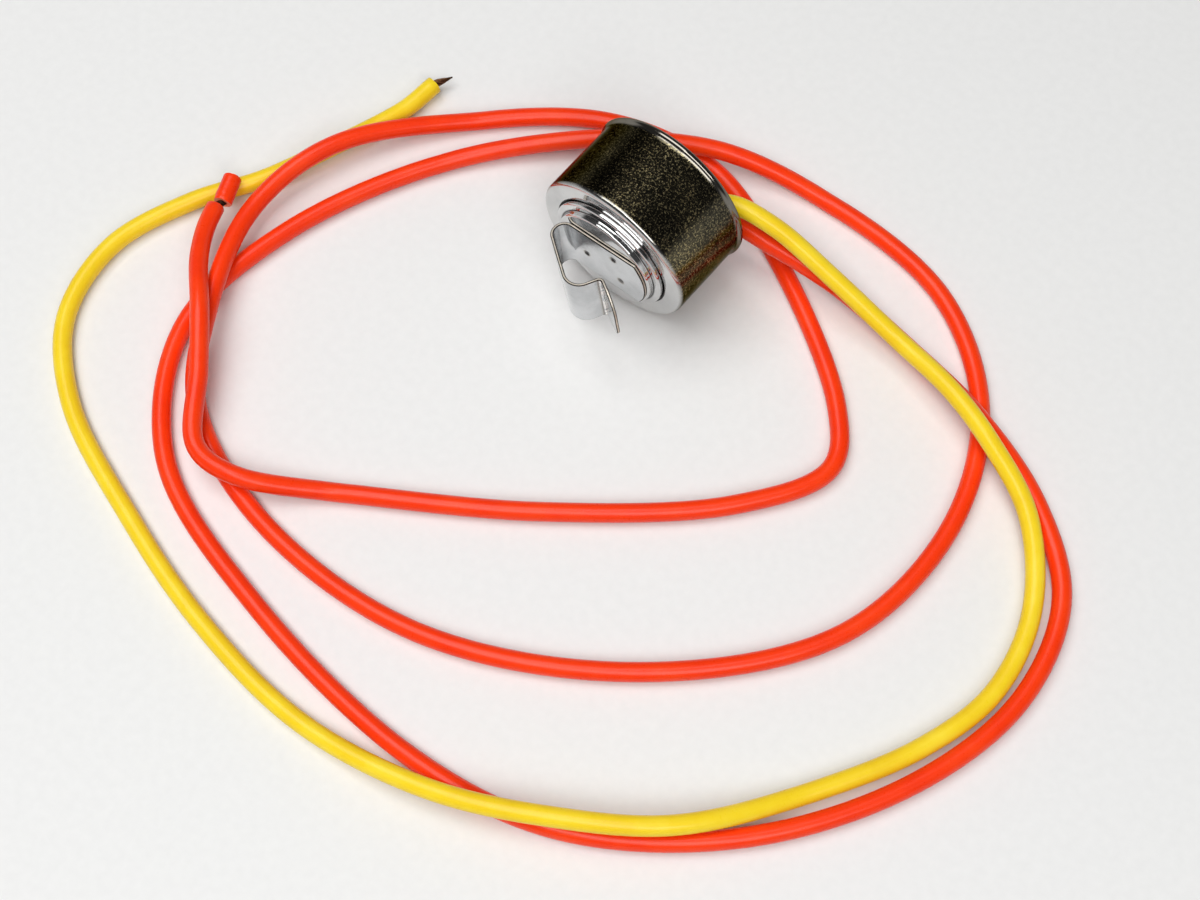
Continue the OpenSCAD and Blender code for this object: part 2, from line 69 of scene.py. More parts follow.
BARE_LEN, STRIP_GAP = 3.0, 1.3
SLUG_LEN, SLUG_BORE_R, SLUG_CORE_LEN = 4.4, 0.7, 2.6

# Camera
CAMERA_AT = (0.08145, -0.1011, 0.25491)
CAMERA_TURN, CAMERA_TILT, CAMERA_ROLL = 40.223, 21.975, -0.173
CAMERA_LENS, CAMERA_SENSOR = 57.28, 36.0

camera_data = bpy.data.cameras.new("camera")
camera_data.lens, camera_data.sensor_width = CAMERA_LENS, CAMERA_SENSOR
camera_data.clip_start, camera_data.clip_end = 0.005, 10
camera = bpy.data.objects.new("camera", camera_data)
camera.matrix_world = (
    Matrix.Translation(CAMERA_AT)
    @ Matrix.Rotation(math.radians(CAMERA_TURN), 4, "Z")
    @ Matrix.Rotation(math.radians(CAMERA_TILT), 4, "X")
    @ Matrix.Rotation(math.radians(CAMERA_ROLL), 4, "Z"))
bpy.context.scene.collection.objects.link(camera)
bpy.context.scene.camera = camera
bpy.context.scene.view_settings.view_transform = "Standard"


# Meshes
def new_piece(name, points, faces, material, replaces, grain=None, cut=None, sharp=50):
    """A smooth-shaded piece on the housing, from points in millimetres in the part's frame.
    grain is a vector at each point for the material. cut is the material of freshly cut faces, and their
    numbers. Edges over the angle sharp stay sharp."""
    mesh = bpy.data.meshes.new(name)
    mesh.from_pydata([tuple(c * MM for c in p) for p in points], [], faces)
    mesh.update()
    outside = bmesh.new()
    outside.from_mesh(mesh)
    bmesh.ops.recalc_face_normals(outside, faces=outside.faces)
    outside.to_mesh(mesh)
    outside.free()
    mesh.polygons.foreach_set("use_smooth", [True] * len(mesh.polygons))
    mesh.set_sharp_from_angle(angle=math.radians(sharp))
    mesh.materials.append(material)
    if grain is not None:
        field = mesh.attributes.new("grain", "FLOAT_VECTOR", "POINT")
        field.data.foreach_set("vector", np.asarray(grain, np.float32).ravel())
    if cut:
        mesh.materials.append(cut[0])
        for k in cut[1]:
            mesh.polygons[k].material_index = 1
    piece = bpy.data.objects.new(name, mesh)
    bpy.context.scene.collection.objects.link(piece)
    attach(piece, HOUSING)
    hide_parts(replaces)
    return piece


def arc(x, y, r, start, end, count):
    """Points on an arc, from one angle to another."""
    return [(x + r * math.cos(math.radians(start + (end - start) * k / count)),
             y + r * math.sin(math.radians(start + (end - start) * k / count)))
            for k in range(count + 1)]


def stretch(points, longest):
    """A closed outline with its long straight runs cut into short ones."""
    out = []
    for k, a in enumerate(points):
        b = points[(k + 1) % len(points)]
        parts = max(1, math.ceil(math.dist(a, b) / longest))
        out += [(a[0] + (b[0] - a[0]) * j / parts, a[1] + (b[1] - a[1]) * j / parts) for j in range(parts)]
    return out


def skin(rows):
    """Faces between each row of point numbers and the next. Each row is a ring, and corners that are one point
    are joined."""
    faces = []
    for row, following in zip(rows, rows[1:]):
        for k in range(len(row)):
            j = (k + 1) % len(row)
            corners = [row[k], row[j], following[j], following[k]]
            face = [c for n, c in enumerate(corners) if c not in corners[:n]]
            if len(face) > 2:
                faces.append(face)
    return faces


def turned(outline, count, wobble=0.0, seed=0.0):
    """Points and faces of a closed outline of (radius, depth) turned about the can's axis.
    Points at radius zero are joined into one. wobble is how far the surface strays."""
    points, rows = [], []
    for r, depth in outline:
        if r < 1e-6:
            points.append((0, FRONT_Y + depth, AXIS_Z))
            rows.append([len(points) - 1] * count)
            continue
        row = []
        for k in range(count):
            turn = 2 * math.pi * k / count
            x, z = math.sin(turn), math.cos(turn)
            out = r
            back = depth
            if wobble:
                place = Vector((x * 1.6 + seed, depth * 0.16, z * 1.6))
                out += wobble * noise.noise(place)
                back += wobble * noise.noise(place + Vector((9, 9, 9))) * min(1, r / 5)
            row.append(len(points))
            points.append((x * out, FRONT_Y + back, AXIS_Z + z * out))
        rows.append(row)
    return points, skin([*rows, rows[0]])


def smooth_line(route, per_step=12):
    """A smooth curve through the points of a route."""
    p = [np.array(q, float) for q in route]
    p = [2 * p[0] - p[1], *p, 2 * p[-1] - p[-2]]
    out = []
    for i in range(len(route) - 1):
        a, b, c, d = p[i:i + 4]
        t0 = 0.0
        t1 = t0 + np.linalg.norm(b - a) ** 0.5
        t2 = t1 + np.linalg.norm(c - b) ** 0.5
        t3 = t2 + np.linalg.norm(d - c) ** 0.5
        for t in np.linspace(t1, t2, per_step, endpoint=False):
            ab = ((t1 - t) * a + (t - t0) * b) / (t1 - t0)
            bc = ((t2 - t) * b + (t - t1) * c) / (t2 - t1)
            cd = ((t3 - t) * c + (t - t2) * d) / (t3 - t2)
            left = ((t2 - t) * ab + (t - t0) * bc) / (t2 - t0)
            right = ((t3 - t) * bc + (t - t1) * cd) / (t3 - t1)
            out.append(((t2 - t) * left + (t - t1) * right) / (t2 - t1))
    out.append(p[-2])
    return np.array(out)


def evenly(line, step):
    """The line again, with points about a step apart."""
    along = np.concatenate([[0], np.cumsum(np.linalg.norm(np.diff(line, axis=0), axis=1))])
    at = np.linspace(0, along[-1], max(3, round(along[-1] / step) + 1))
    return np.stack([np.interp(at, along, line[:, k]) for k in range(3)], axis=1), at


def carried_frames(line):
    """At each point of a line, its direction and two directions across it that don't twist."""
    ahead = np.gradient(line, axis=0)
    ahead /= np.linalg.norm(ahead, axis=1)[:, None]
    side = np.cross([0, 0, 1], ahead[0])
    side /= np.linalg.norm(side)
    sides = []
    for d in ahead:
        side = side - (side @ d) * d
        side /= np.linalg.norm(side)
        sides.append(side)
    sides = np.array(sides)
    return ahead, sides, np.cross(ahead, sides)


def tube(line, at, radius_at, sides, bore=None):
    """Points, faces and grain of a tube along a line. radius_at gives the radius at a point's index and
    angle. The far end is closed, or with bore=(radius, depth) it has a hole."""
    ahead, across, up = carried_frames(line)
    points, grain = [], []
    for i, p in enumerate(line):
        for k in range(sides):
            turn = 2 * math.pi * k / sides
            r = radius_at(i, turn)
            points.append(p + r * (math.cos(turn) * across[i] + math.sin(turn) * up[i]))
            grain.append((math.cos(turn), math.sin(turn), at[i]))
    faces = []
    for i in range(len(line) - 1):
        for k in range(sides):
            j = (k + 1) % sides
            faces.append((i * sides + k, i * sides + j, (i + 1) * sides + j, (i + 1) * sides + k))
    points.append(line[0])
    grain.append((0, 0, at[0]))
    faces += [(len(points) - 1, (k + 1) % sides, k) for k in range(sides)]
    last = (len(line) - 1) * sides
    end, d = line[-1], ahead[-1]
    if bore is None:
        points.append(end)
        grain.append((0, 0, at[-1]))
        faces += [(len(points) - 1, last + k, last + (k + 1) % sides) for k in range(sides)]
        return points, faces, grain
    bore_r, depth = bore
    previous = last
    for back in (0, depth):
        first = len(points)
        for k in range(sides):
            turn = 2 * math.pi * k / sides
            rough = 1 + 0.05 * noise.noise(Vector((math.cos(turn) * 2, math.sin(turn) * 2, back + bore_r)))
            out = math.cos(turn) * across[-1] + math.sin(turn) * up[-1]
            points.append(end - back * d + bore_r * rough * out)
            grain.append((math.cos(turn), math.sin(turn), at[-1] - back))
        faces += [(previous + k, previous + (k + 1) % sides, first + (k + 1) % sides, first + k)
                  for k in range(sides)]
        previous = first
    points.append(end - depth * d)
    grain.append((0, 0, at[-1]))
    faces += [(len(points) - 1, previous + k, previous + (k + 1) % sides) for k in range(sides)]
    return points, faces, grain


# Materials
def material(name):
    """An empty node material, its shader and a maker of nodes."""
    made = bpy.data.materials.new(name)
    made.use_nodes = True
    tree = made.node_tree
    shader = tree.nodes["Principled BSDF"]

    def node(kind, **inputs):
        n = tree.nodes.new(kind)
        for key, value in inputs.items():
            n.inputs[key.replace("_", " ")].default_value = value
        return n

    return made, tree, shader, node


def ramp(tree, fac, stops):
    """A colour ramp over a factor, with stops of (place, colour)."""
    n = tree.nodes.new("ShaderNodeValToRGB")
    while len(n.color_ramp.elements) < len(stops):
        n.color_ramp.elements.new(0.5)
    for element, (place, colour) in zip(n.color_ramp.elements, stops):
        element.position = place
        element.color = (*colour, 1) if len(colour) == 3 else colour
    tree.links.new(fac, n.inputs["Fac"])
    return n.outputs["Color"]


def tones(dark, body, light, middle=0.6):
    """The stops of a ramp through three colours."""
    return [(0.3, dark), (middle, body), (0.8, light)]


def grey(v):
    return (v, v, v)


def scaled(tree, node, source, scale):
    """A vector output multiplied along each axis."""
    n = node("ShaderNodeMapping")
    n.inputs["Scale"].default_value = scale
    tree.links.new(source, n.inputs["Vector"])
    return n.outputs["Vector"]


def object_place(tree):
    return tree.nodes.new("ShaderNodeTexCoord").outputs["Object"]


def noise_of(tree, node, vector, scale, detail=3.0, rough=0.5):
    n = node("ShaderNodeTexNoise", Scale=scale, Detail=detail, Roughness=rough)
    tree.links.new(vector, n.inputs["Vector"])
    return n.outputs["Fac"]


def stored(tree, name, output):
    """An output of what the mesh stores under a name at each of its points."""
    n = tree.nodes.new("ShaderNodeAttribute")
    n.attribute_name = name
    return n.outputs[output]


def length_of(tree, vector):
    n = tree.nodes.new("ShaderNodeVectorMath")
    n.operation = "LENGTH"
    tree.links.new(vector, n.inputs[0])
    return n.outputs["Value"]


def worked_out(tree, operation, a, b):
    """Two outputs put together by a Math node's operation."""
    n = tree.nodes.new("ShaderNodeMath")
    n.operation = operation
    tree.links.new(a, n.inputs[0])
    tree.links.new(b, n.inputs[1])
    return n.outputs["Value"]


def between(tree, node, value, low, high, least=0.0):
    """A value stretched to run from least at low to one at high."""
    n = node("ShaderNodeMapRange", From_Min=low, From_Max=high, To_Min=least)
    tree.links.new(value, n.inputs["Value"])
    return n.outputs["Result"]


def mixed(tree, fac, a, b, kind="MIX"):
    """Two colour outputs or colours mixed by a factor output or number."""
    n = tree.nodes.new("ShaderNodeMix")
    n.data_type, n.blend_type = "RGBA", kind
    for key, value in ((0, fac), (6, a), (7, b)):
        if isinstance(value, bpy.types.NodeSocket):
            tree.links.new(value, n.inputs[key])
        elif key == 0:
            n.inputs[key].default_value = value
        else:
            n.inputs[key].default_value = (*value, 1)
    return n.outputs[2]


def bumped(tree, shader, node, height, strength, distance, previous=None):
    n = node("ShaderNodeBump", Strength=strength, Distance=distance)
    tree.links.new(height, n.inputs["Height"])
    if previous is not None:
        tree.links.new(previous, n.inputs["Normal"])
    tree.links.new(n.outputs["Normal"], shader.inputs["Normal"])
    return n.outputs["Normal"]


def insulation(name, body, deep, light):
    """Satin moulded-on insulation: faint drawing lines, scuffs and a slight mottle."""
    made, tree, shader, node = material(name)
    place = object_place(tree)
    lines = noise_of(tree, node, scaled(tree, node, stored(tree, "grain", "Vector"), (9, 9, 0.12)), 1.0, 2.0)
    mottle = noise_of(tree, node, place, 160.0, 4.0, 0.6)
    scuff = noise_of(tree, node, place, 2600.0, 2.0, 0.7)
    colour = ramp(tree, mottle, [(0.3, deep), (0.5, body), (0.75, light)])
    colour = mixed(tree, ramp(tree, lines, [(0.3, grey(0.0)), (0.8, grey(0.2))]), colour, light)
    tree.links.new(colour, shader.inputs["Base Color"])
    tree.links.new(ramp(tree, scuff, [(0.3, grey(0.26)), (0.75, grey(0.38))]), shader.inputs["Roughness"])
    first = bumped(tree, shader, node, lines, 0.16, 0.00005)
    bumped(tree, shader, node, scuff, 0.06, 0.00002, first)
    shader.inputs["Specular IOR Level"].default_value = 0.24
    shader.inputs["Coat Weight"].default_value = 0.07
    shader.inputs["Coat Roughness"].default_value = 0.16
    return made


def metal(name, stops, rough, grain=(60, 60, 60), mottle=300.0, speck=2400.0, bump=0.1):
    """A metal with cloudy tone, fine specks and directional grain. stops colour the cloudy tone."""
    made, tree, shader, node = material(name)
    place = object_place(tree)
    cloud = noise_of(tree, node, place, mottle, 5.0, 0.6)
    fine = noise_of(tree, node, place, speck, 3.0, 0.65)
    lines = noise_of(tree, node, scaled(tree, node, place, grain), 40.0, 2.0, 0.6)
    colour = ramp(tree, cloud, stops)
    spots = ramp(tree, fine, [(0.3, grey(0.45)), (0.7, grey(1.0))])
    tree.links.new(mixed(tree, 0.35, colour, spots, "MULTIPLY"), shader.inputs["Base Color"])
    dull = ramp(tree, fine, [(0.25, grey(rough[0])), (0.75, grey(rough[1]))])
    tree.links.new(dull, shader.inputs["Roughness"])
    first = bumped(tree, shader, node, lines, bump, 0.00003)
    bumped(tree, shader, node, fine, bump, 0.00002, first)
    shader.inputs["Metallic"].default_value = 1.0
    return made


def moulded(name, stops, rough, mottle=500.0, bump=0.15):
    """Moulded plastic, ceramic, rubber or resin with a cloudy tone and a fine skin."""
    made, tree, shader, node = material(name)
    place = object_place(tree)
    cloud = noise_of(tree, node, place, mottle, 5.0, 0.6)
    fine = noise_of(tree, node, place, 3200.0, 2.0)
    tree.links.new(ramp(tree, cloud, stops), shader.inputs["Base Color"])
    dull = ramp(tree, fine, [(0.3, grey(rough[0])), (0.7, grey(rough[1]))])
    tree.links.new(dull, shader.inputs["Roughness"])
    bumped(tree, shader, node, fine, bump, 0.00004)
    return made


YELLOW_PVC = insulation("yellow_pvc", (0.90, 0.64, 0.016), (0.86, 0.58, 0.012), (0.93, 0.71, 0.04))
ORANGE_PVC = insulation("orange_pvc", (0.93, 0.042, 0.003), (0.88, 0.034, 0.003), (0.95, 0.058, 0.007))
YELLOW_CUT = moulded(
    "yellow_cut", tones((0.86, 0.70, 0.14), (0.93, 0.80, 0.24), (0.96, 0.87, 0.36)), (0.5, 0.7))
ORANGE_CUT = moulded(
    "orange_cut", tones((0.80, 0.17, 0.07), (0.88, 0.27, 0.14), (0.93, 0.40, 0.25)), (0.5, 0.7))

# Cords
YELLOW_ROUTE = [
    (5, 7.3, 11.5), (5, 10.3, 11.5), (8, 14.5, 11.8), (15.2, 16.2, 11), (25.4, 16.8, 7.5),
    (38, 16.6, 4), (49, 14.4, 5.5), (57.6, 11.6, 5.5), (68.2, 7.2, 2.5), (76.6, -2.8, 0),
    (79.4, -15.6, 0), (76.4, -28.2, 0), (68.2, -43.4, 0), (57.8, -58.2, 3), (44.8, -67.8, 3.4),
    (29.2, -75.6, 2.5), (9.2, -79.6, 0), (-11, -78, 0), (-29.4, -73.4, 0), (-48, -66.6, 0),
    (-58.6, -57.2, 0), (-61.8, -44.6, 0), (-58, -31.8, 0), (-52.2, -21.6, 0), (-48.2, -11.2, 0),
    (-44.2, 0.8, 0), (-43.4, 7, 0.5)]
ORANGE_ROUTE = [
    (5, 7.3, 6.5), (5, 10.3, 6.5), (8, 14.5, 6.5), (15.6, 16, 6), (26.4, 18.4, 2.5), (39, 18.4, 0),
    (54, 14.6, 3.1), (67.8, 10.4, 0.5), (78.8, 1.2, 0), (82.8, -14, 0), (78.6, -32.6, 0),
    (65.8, -52.8, 0), (46.2, -68, 0), (25, -73.4, 0), (-6.8, -71.4, 0), (-31.6, -63.8, 0),
    (-44.2, -47.2, 0), (-43.4, -26.2, 0), (-33.2, -2.2, 0), (-20, 12.8, 1.7), (-10.2, 19.6, 3.4),
    (0.4, 25.8, 2.9), (15.8, 30, 0), (38, 28.4, 0), (53.2, 17.4, 0), (60.8, -0.4, 0), (58.6, -22.4, 0),
    (40.6, -44.6, 0), (13.4, -60, 0), (-14.2, -62, 0), (-33.6, -55.2, 0.3), (-41.4, -44.4, 3.2),
    (-48.8, -27.4, 2.5), (-46.6, -11.6, 3.1), (-34, 6.8, 0), (-18.2, 19.8, 0), (-2, 23.4, 0),
    (14.4, 18.2, 0), (37.2, 4.2, 0), (42.4, -4, 0), (35.6, -16.8, 0), (15, -35.6, 0), (-9, -52, 0),
    (-21.2, -60.2, 3.4), (-28.2, -60.2, 3.3), (-35.4, -51.8, 4.6), (-41.4, -45, 6.5),
    (-47.6, -39.2, 5.2), (-51.2, -34.4, 3.8), (-52.8, -31, 3.2)]
# The step along a lead, in millimetres, and the sides round it
CORD_STEP, CORD_SIDES = 0.9, 28
# A lead's cut end: how far its face stands out, its share of the lead's radius, and how much that strays
CUT_OUT, CUT_SHARE, CUT_STRAY = 0.12, 0.93, 0.02
# The hole in the cut face, and how much the lead's thickness strays along its length
BORE_R, BORE_DEPTH, WIRE_STRAY = CORE_R * 1.08, 1.2, 0.006


def lead_line(route):
    """The middle line of a lead, which never lies lower than the floor, and the length up to each point."""
    line = smooth_line([(x, y, rise + WIRE_R) for x, y, rise in route])
    line, at = evenly(line, CORD_STEP)
    line[:, 2] = np.maximum(line[:, 2], WIRE_R)
    return line, at


def lead(name, route, paint, cut_paint, node):
    """A lead's insulation, with its cut end a little drawn in and a hole where the strands come out."""
    line, at = lead_line(route)
    end = len(line) - 1
    extra = line[-1] + (line[-1] - line[-2]) / np.linalg.norm(line[-1] - line[-2]) * CUT_OUT
    line = np.vstack([line, extra])
    at = np.append(at, at[-1] + CUT_OUT)

    def radius(i, turn):
        if i > end:
            return WIRE_R * (CUT_SHARE + CUT_STRAY * math.sin(3 * turn))
        place = Vector((at[i] * 0.11, math.cos(turn), math.sin(turn)))
        return WIRE_R * (1 + WIRE_STRAY * noise.noise(place))

    points, faces, grain = tube(line, at, radius, CORD_SIDES, bore=(BORE_R, BORE_DEPTH))
    cut_start = len(line) * CORD_SIDES
    cut = (cut_paint, range(cut_start, cut_start + CORD_SIDES))
    return new_piece(name, points, faces, paint, node, grain, cut), line


yellow_cord, yellow_line = lead(
    "yellow_insulation", YELLOW_ROUTE, YELLOW_PVC, YELLOW_CUT, "yellow_lead")
orange_cord, orange_line = lead(
    "orange_insulation", ORANGE_ROUTE, ORANGE_PVC, ORANGE_CUT, "orange_lead")

# Bare strands

# How many lie round the middle one, their turns per millimetre, the radius of one and that of their ring
STRAND_COUNT, STRAND_TWIST, STRAND_R, STRAND_RING_R = 6, 0.16, 0.2, 0.38
# The steps along a strand and the sides of one, how far it strays, and how thin the thinnest one ends
STRAND_STEP, STRAND_SIDES, STRAND_STRAY, STRAND_THIN = 0.1, 10, 0.05, 0.35
# How far the strands reach back into each lead
YELLOW_INSIDE, ORANGE_INSIDE = 1.2, 1.1
# The steps along the slug, its ends' share of the lead's radius, how far they are torn, and how it strays
SLUG_STEP, SLUG_END_SHARE, SLUG_TORN, SLUG_STRAY = 0.22, 0.94, 0.09, 0.03
# very dark brown metal for the bare strands
DARK_STRANDS = metal(
    "dark_strands", tones((0.02, 0.014, 0.01), (0.09, 0.045, 0.022), (0.26, 0.12, 0.06), 0.55), (0.3, 0.6))


def unit(v):
    v = np.array(v, float)
    return v / np.linalg.norm(v)


def strands(name, path, width_at, node):
    """Twisted strands along a path. width_at gives how wide the bundle is at a share of its length."""
    line, at = evenly(smooth_line(path), STRAND_STEP)
    _, across, up = carried_frames(line)
    points, faces = [], []
    for s in range(STRAND_COUNT + 1):
        middle = s == STRAND_COUNT
        centre, radii = [], []
        for i, p in enumerate(line):
            share = at[i] / at[-1]
            wide = width_at(share)
            turn = 2 * math.pi * (s / STRAND_COUNT + STRAND_TWIST * at[i])
            away = 0 if middle else STRAND_RING_R * wide
            stray = STRAND_STRAY * noise.noise(Vector((s * 3.1, at[i] * 0.9, 0.5)))
            centre.append(p + (away + stray) * (math.cos(turn) * across[i] + math.sin(turn) * up[i]))
            radii.append(STRAND_R * (STRAND_THIN + (1 - STRAND_THIN) * wide) if share > 0.5 else STRAND_R)
        part, more, _ = tube(np.array(centre), at, lambda i, turn: radii[i], STRAND_SIDES)
        first = len(points)
        points += part
        faces += [tuple(first + c for c in f) for f in more]
    return new_piece(name, points, faces, DARK_STRANDS, node)


def pointed(share):
    """Full width over the first half, then down to a point."""
    return 1 if share < 0.5 else max(0.06, 1 - 1.9 * (share - 0.5))


yellow_end = yellow_line[-1]
bare_dir = unit((0.45, 1, 0))
into = unit(yellow_line[-1] - yellow_line[-3])
yellow_strands = strands(
    "yellow_strands",
    [yellow_end - YELLOW_INSIDE * into, yellow_end,
     yellow_end + BARE_LEN / 2 * bare_dir, yellow_end + BARE_LEN * bare_dir],
    pointed, "yellow_bare_end")

orange_end = orange_line[-1]
gap_dir, slug_dir = unit((0.2, 1, 0)), unit((-0.42, 1, 0.05))
into = unit(orange_line[-1] - orange_line[-3])
slug_start = orange_line[-2] + STRIP_GAP * gap_dir
orange_strands = strands(
    "orange_strands",
    [orange_end - ORANGE_INSIDE * into, orange_end, slug_start, slug_start + SLUG_CORE_LEN * slug_dir],
    lambda share: 1, "orange_bare_end")


def slug():
    """The loose slug of insulation, open at both ends, with slightly torn edges."""
    line, at = evenly(np.array([slug_start, slug_start + SLUG_LEN * slug_dir]), SLUG_STEP)
    ahead, across, up = carried_frames(line)
    sides, last = CORD_SIDES, len(line) - 1
    rings = [(i, WIRE_R if 0 < i < last else WIRE_R * SLUG_END_SHARE) for i in range(last + 1)]
    rings += [(i, SLUG_BORE_R) for i in range(last, -1, -1)]
    points, grain = [], []
    for i, r in rings:
        for k in range(sides):
            turn = 2 * math.pi * k / sides
            c, s = math.cos(turn), math.sin(turn)
            torn = SLUG_TORN * noise.noise(Vector((c * 1.7, s * 1.7, i))) if i in (0, last) else 0
            rough = 1 + SLUG_STRAY * noise.noise(Vector((c, s, i * 0.4)))
            points.append(line[i] + torn * ahead[i] + r * rough * (c * across[i] + s * up[i]))
            grain.append((c, s, at[i]))
    rows = [list(range(i * sides, (i + 1) * sides)) for i in range(len(rings))]
    ends = [*range(last * sides, (last + 1) * sides), *range((2 * last + 1) * sides, (2 * last + 2) * sides)]
    return new_piece("loose_slug", points, skin([*rows, rows[0]]), ORANGE_PVC,
                     "orange_slug", grain, (ORANGE_CUT, ends))


loose_slug = slug()

# Floor and light
FLOOR_TONE, BACKDROP = (0.80, 0.80, 0.79), (0.78, 0.78, 0.78)
ROOM_LOW, ROOM_HIGH = (0.22, 0.223, 0.227), (0.07, 0.07, 0.072)
# The floor's side, the gap under the part, and the distances over which the floor fades into the backdrop
FLOOR_SIDE, FLOOR_GAP, FADE_FROM_TO = 6.0, 0.00002, (0.20, 0.50)


def looked_at(tree):
    """One for what the camera sees, straight or in a reflection or through glass, and zero for scattered
    light."""
    path = tree.nodes.new("ShaderNodeLightPath")
    out = path.outputs["Is Camera Ray"]
    for kind in ("Is Glossy Ray", "Is Transmission Ray"):
        out = worked_out(tree, "MAXIMUM", out, path.outputs[kind])
    return out


def floor():
    """A plain pale floor, which far from the part looks as pale as the backdrop."""
    made, tree, shader, node = material("pale_floor")
    fine = noise_of(tree, node, object_place(tree), 700.0, 4.0)
    tone = ramp(tree, fine, [(0.3, tuple(0.97 * c for c in FLOOR_TONE)), (0.7, FLOOR_TONE)])
    tree.links.new(tone, shader.inputs["Base Color"])
    shader.inputs["Roughness"].default_value = 0.7
    shader.inputs["Specular IOR Level"].default_value = 0.25
    far = between(tree, node, length_of(tree, object_place(tree)), *FADE_FROM_TO)
    glow = node("ShaderNodeEmission", Color=(*BACKDROP, 1))
    blend = tree.nodes.new("ShaderNodeMixShader")
    tree.links.new(worked_out(tree, "MULTIPLY", far, looked_at(tree)), blend.inputs["Fac"])
    tree.links.new(shader.outputs["BSDF"], blend.inputs[1])
    tree.links.new(glow.outputs["Emission"], blend.inputs[2])
    tree.links.new(blend.outputs["Shader"], tree.nodes["Material Output"].inputs["Surface"])
    mesh = bpy.data.meshes.new("floor")
    half = FLOOR_SIDE / 2
    corners = [(-half, -half, 0), (half, -half, 0), (half, half, 0), (-half, half, 0)]
    mesh.from_pydata(corners, [], [(0, 1, 2, 3)])
    mesh.materials.append(made)
    plane = bpy.data.objects.new("floor", mesh)
    plane.location.z = -FLOOR_GAP
    bpy.context.scene.collection.objects.link(plane)


def lamp(name, towards, away, along, long, wide, power):
    """A soft box seen from the part in one direction, with its long side along another."""
    data = bpy.data.lights.new(name, "AREA")
    data.shape, data.size, data.size_y, data.energy = "RECTANGLE", long, wide, power
    light = bpy.data.objects.new(name, data)
    back = Vector(towards).normalized()
    right = (Vector(along) - Vector(along).dot(back) * back).normalized()
    turn = Matrix((right, back.cross(right), back)).transposed().to_4x4()
    light.matrix_world = Matrix.Translation(back * away) @ turn
    bpy.context.scene.collection.objects.link(light)


def room():
    """Soft light from all round, weaker from above, and a low pale backdrop for the eye."""
    world = bpy.data.worlds.new("room")
    world.use_nodes = True
    tree = world.node_tree
    height = tree.nodes.new("ShaderNodeSeparateXYZ")
    tree.links.new(tree.nodes.new("ShaderNodeTexCoord").outputs["Generated"], height.inputs["Vector"])
    shade = ramp(tree, height.outputs["Z"], [(0.0, ROOM_LOW), (0.2, ROOM_LOW), (0.7, ROOM_HIGH)])
    seen = ramp(tree, height.outputs["Z"], [(0.0, BACKDROP), (0.15, BACKDROP), (0.32, ROOM_HIGH)])
    tree.links.new(mixed(tree, looked_at(tree), shade, seen), tree.nodes["Background"].inputs["Color"])
    bpy.context.scene.world = world


floor()
room()
lamp("key", towards=(-0.29, -0.12, 0.93), away=0.85, along=(1, 0, 0), long=0.60, wide=0.60, power=4.8)
lamp("strip", towards=(0.37, -0.39, 0.83), away=0.75, along=(1, 0, -0.45), long=0.62, wide=0.30, power=3.1)

# Steel of the can, the cap and the clip

# Where the can's look changes, in millimetres: behind its front, ahead of its back edge, and from left to
# right, where painted shade darkens the side
SIDE_FROM_TO, RIM_FROM_TO, PAINTED_SHADE_FROM_TO = (0.10, 0.75), (1.3, 1.1), (-4.5, 1.5)


def shell_steel():
    """Bright steel on the front ring, and a darker side with fine golden specks and painted shade that makes it
    darkest on the left.
    """
    made, tree, shader, node = material("shell_steel")
    place = object_place(tree)
    split = node("ShaderNodeSeparateXYZ")
    tree.links.new(place, split.inputs["Vector"])
    side = between(tree, node, split.outputs["Y"], *[(FRONT_Y + back) * MM for back in SIDE_FROM_TO])
    rim = between(tree, node, split.outputs["Y"], *[(FRONT_Y + CAN_LEN - ahead) * MM for ahead in RIM_FROM_TO])
    # painted shade: the side's colour darkens towards the left
    shade = between(tree, node, split.outputs["X"], *[right * MM for right in PAINTED_SHADE_FROM_TO], least=0.3)
    cloud = noise_of(tree, node, place, 130.0, 4.0, 0.6)
    speck = noise_of(tree, node, place, 3500.0, 4.0, 0.8)
    ring = ramp(tree, cloud, [(0.3, (0.50, 0.50, 0.50)), (0.7, (0.68, 0.68, 0.67))])
    dark = ramp(tree, cloud, [
        (0.35, (0.050, 0.047, 0.038)), (0.5, (0.082, 0.076, 0.056)), (0.68, (0.13, 0.117, 0.080))])
    specks = ramp(tree, speck, [
        (0.40, grey(0.35)), (0.50, grey(0.8)), (0.57, (2.2, 2.05, 1.6)), (0.65, (5.4, 4.9, 3.6))])
    dark = mixed(tree, 1.0, dark, shade, "MULTIPLY")
    dark = mixed(tree, 1.0, dark, specks, "MULTIPLY")
    dark = mixed(tree, rim, dark, (0.20, 0.185, 0.16))
    tree.links.new(mixed(tree, side, ring, dark), shader.inputs["Base Color"])
    tree.links.new(mixed(tree, side, grey(1.0), (0.40, 0.38, 0.31)), shader.inputs["Specular Tint"])
    smooth = ramp(tree, cloud, [(0.3, grey(0.08)), (0.7, grey(0.14))])
    dull = ramp(tree, speck, [(0.3, grey(0.13)), (0.52, grey(0.18)), (0.64, grey(0.40))])
    dull = mixed(tree, rim, dull, grey(0.12))
    tree.links.new(mixed(tree, side, smooth, dull), shader.inputs["Roughness"])
    lines = noise_of(tree, node, scaled(tree, node, place, (6, 0.4, 6)), 40.0, 2.0, 0.6)
    first = bumped(tree, shader, node, lines, 0.05, 0.00002)
    bumped(tree, shader, node, speck, 0.05, 0.00001, first)
    shader.inputs["Metallic"].default_value = 1.0
    return made


